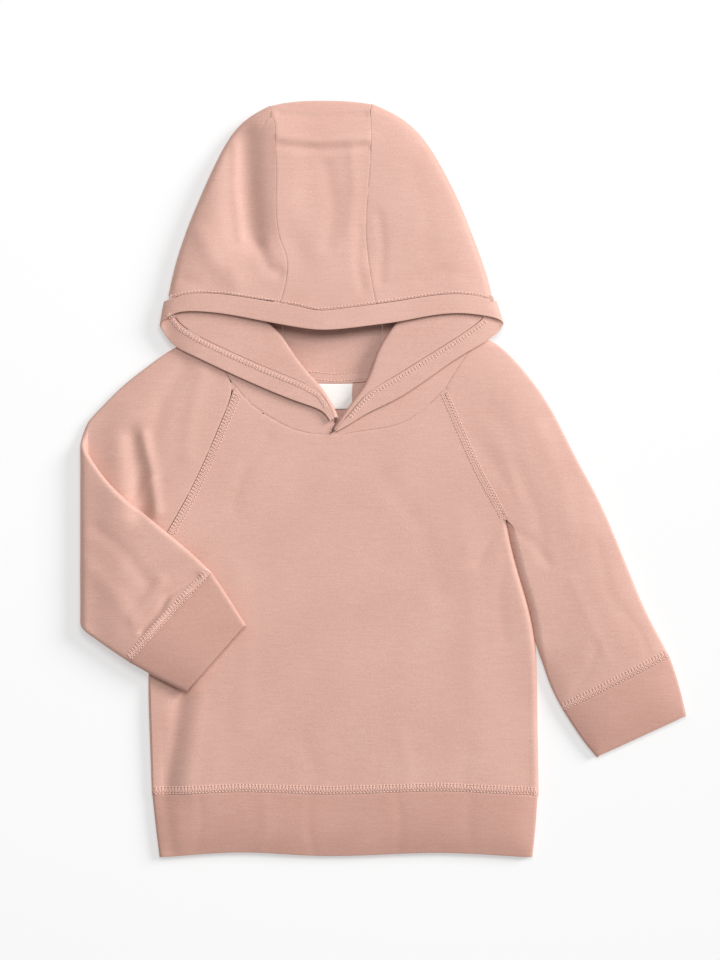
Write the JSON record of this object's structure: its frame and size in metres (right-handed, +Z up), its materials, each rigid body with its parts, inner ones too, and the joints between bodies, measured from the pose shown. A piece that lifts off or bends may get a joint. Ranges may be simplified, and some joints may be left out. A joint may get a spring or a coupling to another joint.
{
  "type": "toddler hoodie",
  "caption": "Child's pullover hoodie laid flat and face up: raglan sleeves, one folded over, hood with crossed front edges, ribbed cuffs and waistband.",
  "frame": {"origin": "on the surface the garment lies on, under the middle of the body, near the chest line", "axes": "+Z up out of the surface, out of the garment's front; +Y from the waistband towards the hood; +X towards the sleeve that lies open"},
  "size_m": [0.4706, 0.587, 0.0183],
  "materials": {
    "jersey": "dusty pink heathered cotton jersey, matt",
    "ribbing": "slightly darker doubled cotton ribbing, matt",
    "satin": "white woven satin, soft sheen"
  },
  "bodies": {
    "root": {"front_panel": "jersey", "back_panel": "jersey", "waistband": "ribbing", "sleeve_right": "jersey", "cuff_right": "ribbing", "sleeve_left": "jersey", "cuff_left": "ribbing", "hood_band": "jersey", "hood_centre": "jersey", "hood_left": "jersey", "hood_right": "jersey", "neck_tape": "jersey", "label": "satin"}
  },
  "joints": []
}
